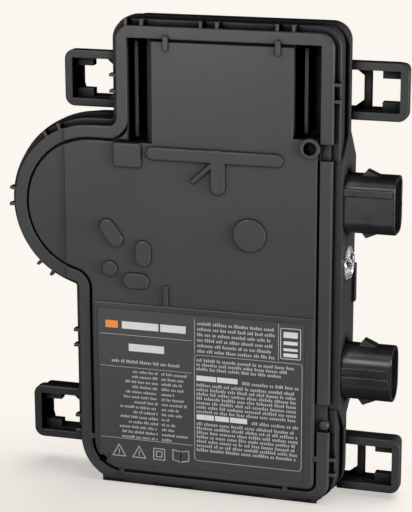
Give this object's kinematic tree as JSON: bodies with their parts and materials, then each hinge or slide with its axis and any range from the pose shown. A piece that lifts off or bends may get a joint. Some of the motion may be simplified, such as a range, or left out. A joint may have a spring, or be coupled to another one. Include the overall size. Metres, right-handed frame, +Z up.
{
  "type": "solar micro inverter",
  "caption": "Flat potted solar micro inverter with a moulded housing, round lobe, connector wall with two DC sockets, status lens, rear line socket and bracket loops.",
  "frame": {"origin": "centre of the bounding box's footprint, on the level of the foot of the housing", "axes": "+Z up along the housing towards the two channels, +Y towards the back that faces the solar panel's frame, +X towards the connector wall with the two DC sockets"},
  "size_m": [0.1777, 0.0301, 0.212],
  "materials": {
    "cover_plastic": "fine moulded texture, satin",
    "housing_plastic": "fine moulded texture, satin",
    "label_film": "printed matt film",
    "socket_plastic": "smooth satin",
    "seal_rubber": "matt",
    "contact_metal": "tin plated",
    "lens_plastic": "smoked, polished",
    "lamp_resin": "clear resin",
    "board_laminate": "solder mask",
    "can_aluminium": "drawn can",
    "ferrite": "sintered, ground",
    "bobbin_plastic": "moulded",
    "winding_copper": "enamelled copper wire",
    "capacitor_case": "moulded case",
    "safety_case": "moulded case",
    "chip_package": "moulded epoxy",
    "varistor_coating": "dipped epoxy",
    "fuse_body": "glazed tube",
    "pad_silicone": "soft silicone",
    "spreader_aluminium": "rolled sheet",
    "insulating_film": "polyimide film",
    "potting_resin": "cast resin"
  },
  "bodies": {
    "root": {"front_cover": "cover_plastic", "rear_housing": "housing_plastic", "bracket_loop_upper_left": "housing_plastic", "bracket_loop_upper_right": "housing_plastic", "bracket_loop_lower_left": "housing_plastic", "bracket_loop_lower_right": "housing_plastic", "rating_label": "label_film", "dc_socket_upper": "socket_plastic", "dc_socket_lower": "socket_plastic", "dc_seal_upper": "seal_rubber", "dc_seal_lower": "seal_rubber", "dc_pins_upper": "contact_metal", "dc_pins_lower": "contact_metal", "status_lens": "lens_plastic", "status_lamp": "lamp_resin", "ac_socket": "socket_plastic", "ac_seal": "seal_rubber", "ac_pins": "contact_metal", "circuit_board": "board_laminate", "input_capacitors": "can_aluminium", "transformer_core_front": "ferrite", "transformer_core_back": "ferrite", "transformer_bobbin": "bobbin_plastic", "primary_winding": "winding_copper", "secondary_winding": "winding_copper", "resonant_inductor_core": "ferrite", "resonant_inductor_winding": "winding_copper", "output_choke_core": "ferrite", "output_choke_windings": "winding_copper", "film_capacitors": "capacitor_case", "safety_capacitors": "safety_case", "control_chip": "chip_package", "gate_driver_chips": "chip_package", "line_signal_transformer": "chip_package", "surge_varistors": "varistor_coating", "fuses": "fuse_body", "crystal": "can_aluminium", "input_switches": "chip_package", "output_switches": "chip_package", "thermal_pads": "pad_silicone", "heat_spreader": "spreader_aluminium", "insulating_sheet": "insulating_film", "potting_compound": "potting_resin"}
  },
  "joints": []
}
